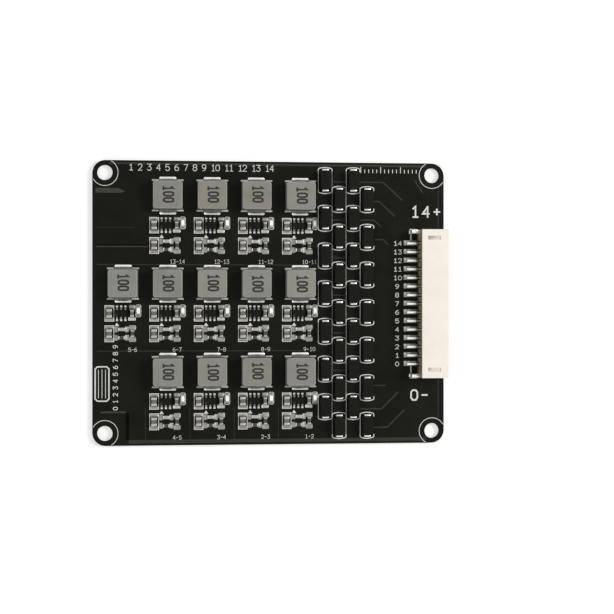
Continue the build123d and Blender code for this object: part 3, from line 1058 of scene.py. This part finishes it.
def build_diode_legend():
    bm = bmesh.new()
    for column in DIODE_COLUMNS:
        for low, high in solid_boxes(f"diode_bodies_column_{column}"):
            add_diode_outline(bm, (low.x + high.x) / 2, (low.y + high.y) / 2, column)
    print_piece("legend_diodes", bm)


def build_header_legend():
    """A number at each contact, the signs of the two ends, and angled lines round the housing's arms."""
    bm = bmesh.new()
    for index, (low, high) in enumerate(contacts):
        left = TWO_DIGITS_X if index > 9 else ONE_DIGIT_X
        add_sign_text(bm, str(index), left, low.y - 0.22, height=0.95, line=0.17, widen=1.3)
    add_sign_text(bm, "14+", 33.0, 20.0, height=2.45, line=0.38, pitch=1.05)
    add_sign_text(bm, "0-", 32.8, -22.6, height=2.45, line=0.38, pitch=1.0)
    for side, y in zip((-1, 1), header_ends):
        add_ribbon(bm, [(ARM_LINE_RIGHT, y + side * 0.25), (ARM_LINE_LEFT, y + side * 0.25)], 0.2)
        add_ribbon(bm, [(ARM_LINE_X, y - side * 0.95), (ARM_LINE_X, y - side * 2.4)], 0.28)
    print_piece("legend_header", bm)


def add_hole_ring(bm, x, y):
    """A ring round a screw hole, left open where the board ends."""
    ring = []
    for step in range(98):
        angle = 2 * math.pi * step / 96
        spot = (x + RING_RADIUS * math.cos(angle), y + RING_RADIUS * math.sin(angle))
        inside = abs(spot[0]) < BOARD_X - PRINT_MARGIN and abs(spot[1]) < BOARD_Y - PRINT_MARGIN
        if inside and step < 97:
            ring.append(spot)
            continue
        if len(ring) > 1:
            add_ribbon(bm, ring, 0.14)
        ring = []


def build_board_legend():
    """Rings round the screw holes, two rows of plain numbers, a small scale and a write-on box."""
    bm = bmesh.new()
    for x in (-HOLE_X, HOLE_X):
        for y in (-HOLE_Y, HOLE_Y):
            add_hole_ring(bm, x, y)
    numbers = " ".join(str(number) for number in range(1, 15))
    add_sign_text(bm, numbers, -32.2, 30.25, height=1.4, line=0.15, pitch=0.74)
    for tick in range(15):
        tall = TALL_TICK if tick % 5 == 0 else SHORT_TICK
        x = SCALE_START + tick * SCALE_PITCH
        add_ribbon(bm, [(x, SCALE_BOTTOM), (x, SCALE_BOTTOM + tall)], 0.17)
    add_sign_text(bm, "0 1 2 3 4 5 6 7 8 9", -34.8, -24.3, height=1.0, line=0.15, turn=1, pitch=0.78)
    add_ribbon(bm, outline_box(*WRITE_ON_BOX, 0.5), 0.3)
    for x in WRITE_ON_LINES:
        add_ribbon(bm, [(x, WRITE_ON_BOTTOM), (x, WRITE_ON_TOP)], 0.14)
    print_piece("legend_board", bm)


for row in ROWS:
    build_stage_legend(row)
build_inductor_marks()
build_diode_legend()
build_header_legend()
build_board_legend()


# Copper under the mask

# What stands up faintly under the mask, as widths and paths: edges of pours between the rows of stages,
# traces to the header, stubs beside the first diodes, and edges near the board's sides
COPPER = (
    *((0.2, ((-39.4, y), (10.6, y))) for y in (8.75, -10.95)),
    (0.1, ((-39.6, 17.2), (-31.0, 17.2))),
    (0.32, ((20.6, 28.0), (26.2, 28.0), (30.7, 23.9))),
    (0.32, ((24.1, 23.5), (25.3, 23.5), (28.9, 20.2))),
    (0.32, ((20.9, 19.2), (24.1, 19.2), (25.6, 17.8))),
    (0.32, ((24.4, 14.7), (26.3, 14.7), (27.4, 13.6))),
    (0.32, ((23.8, -19.1), (26.7, -19.1))),
    (0.32, ((20.9, -24.5), (25.9, -24.5), (29.7, -20.7))),
    (0.32, ((20.6, -28.8), (27.2, -28.8), (31.1, -24.9))),
    *((0.32, ((14.7, y), (17.2, y))) for y in (28.0, 19.2, 10.5, 1.8, -6.9, -15.6)),
    (0.3, ((33.7, 28.4), (35.5, 25.7))),
    (0.2, ((39.2, 26.6), (39.2, 17.5))),
    (0.2, ((39.2, -26.6), (39.2, -17.8))),
    (0.5, ((-36.5, 31.8), (36.0, 31.8))),
    (0.8, ((-32.0, -31.6), (36.0, -31.6))),
)
# Edges between the stages of the lower row, which stand a little higher
STAGE_EDGES = [(0.12, ((x, -24.0), (x, -31.0))) for x in (-28.5, -18.4, -8.3, 1.85)]
# Paler edges at the left of the board, and a paler patch under the upper left screw hole, a painted sheen on
# the mask
PALE_EDGES = ((0.24, ((-39.6, 12.85), (-28.0, 12.85))), (0.4, ((-38.5, -24.85), (-33.1, -24.85))))
PALE_PATCH_SHEEN = ((-39.8, 26.15), (-34.6, 26.15), (-33.1, 25.4), (-34.1, 25.05), (-39.8, 25.05))
WIDE_GAP = ((-32.6, -25.0), (-32.6, -31.2))
NARROW_GAP = ((-39.8, 13.2), (-28.3, 13.2))


def build_copper():
    """Edges of pours and traces, as a low step in the mask."""
    bm = bmesh.new()
    for width, path in COPPER:
        add_ribbon(bm, path, width)
    for width, path in STAGE_EDGES:
        add_ribbon(bm, path, width, lift=0.003)
    # The pale edges, and a painted sheen under the upper left screw hole, take the paler mask
    old = len(bm.faces)
    for width, path in PALE_EDGES:
        add_ribbon(bm, path, width)
    add_flat(bm, PALE_PATCH_SHEEN)
    paint_since(bm, old, 1)
    raise_flat(bm, COPPER_THICKNESS)
    make_piece("copper_under_mask", bm, [mask_on_copper, mask_on_pour_and_sheen])


def build_copper_gaps():
    """Bare laminate under the mask, a little darker than the rest."""
    bm = bmesh.new()
    add_ribbon(bm, WIDE_GAP, 0.8, round_ends=False)
    add_ribbon(bm, NARROW_GAP, 0.2)
    raise_flat(bm, GAP_THICKNESS)
    make_piece("gaps_under_mask", bm, [mask_in_gap])


build_copper()
build_copper_gaps()


# Stage, lights and camera

FLOOR_HALF = 1500.0
FLOOR_BELOW = 0.15
WHITE = (1.0, 1.0, 1.0, 1.0)


def floor_material():
    """Pale and matt, with a glow to the camera only, which grows with the distance in metres."""
    material, tree, shader, where = new_material("floor_white")
    cloud = noise(tree, where, 3.0, 2.0)
    link(shades(tree, cloud, (0.50,) * 3, (0.52,) * 3), shader.inputs["Base Color"])
    set_inputs(shader, {"Roughness": 0.9, "Specular IOR Level": 0.1, "Emission Color": WHITE})
    rays = tree.nodes.new("ShaderNodeLightPath")
    distance = tree.nodes.new("ShaderNodeVectorMath")
    distance.operation = "LENGTH"
    link(where, distance.inputs[0])
    glow = spread(tree, distance.outputs["Value"], 0.55, 0.80, 0.15, 1.1)
    seen = math_node(tree, "MULTIPLY", rays.outputs["Is Camera Ray"], glow)
    link(seen, shader.inputs["Emission Strength"])
    return material


def build_floor():
    """A floor just under the board."""
    bm = bmesh.new()
    bmesh.ops.create_grid(bm, x_segments=8, y_segments=8, size=FLOOR_HALF)
    bmesh.ops.translate(bm, vec=(0, 0, -FLOOR_BELOW), verts=bm.verts)
    floor = mesh_object("studio_floor", bm)
    floor.data.materials.append(floor_material())


def build_world():
    """White to the camera and in reflections, and a softer fill for everything else."""
    world = bpy.data.worlds.new("studio_world")
    bpy.context.scene.world = world
    world.use_nodes = True
    tree = world.node_tree
    background = tree.nodes["Background"]
    background.inputs["Color"].default_value = WHITE
    rays = tree.nodes.new("ShaderNodeLightPath")
    seen = rays.outputs["Is Camera Ray"]
    for name in ("Is Glossy Ray", "Is Transmission Ray"):
        seen = math_node(tree, "MAXIMUM", seen, rays.outputs[name])
    link(spread(tree, seen, 0.42, 1.0, 0.0, 1.0), background.inputs["Strength"])


def add_lamp(name, place, size, power):
    """A square lamp at a place in metres, turned to the board's middle."""
    data = bpy.data.lights.new(name, "AREA")
    data.size = size
    data.energy = power
    lamp = new_object(name, data)
    lamp.location = place
    lamp.rotation_mode = "QUATERNION"
    lamp.rotation_quaternion = (-Vector(place)).to_track_quat("-Z", "Y")


def build_camera():
    """Straight above the board but for a small tilt and shift to the left, at the photograph's scale."""
    shot_width = 140.9
    distance = 265.0
    tilt = math.radians(5.0)
    centre_x, centre_y = 8.45, -0.91
    shift = 0.028
    sensor_width = 36.0
    data = bpy.data.cameras.new("photo_camera")
    data.type = "PERSP"
    data.sensor_width = sensor_width
    data.lens = sensor_width * distance / shot_width
    data.shift_x = shift
    data.clip_start = 0.01
    data.clip_end = 10.0
    camera = new_object("photo_camera", data)
    left = centre_x - distance * math.tan(tilt) - shift * shot_width
    camera.location = (left * MM, centre_y * MM, (DECK + distance) * MM)
    camera.rotation_euler = (0.0, -tilt, 0.0)
    bpy.context.scene.camera = camera


build_floor()
build_world()
add_lamp("key_from_the_right", (0.44, 0.12, 0.44), size=0.22, power=2.9)
add_lamp("fill_from_the_left", (-0.34, -0.30, 0.42), size=0.40, power=0.9)
build_camera()
bpy.context.scene.view_settings.view_transform = "Standard"
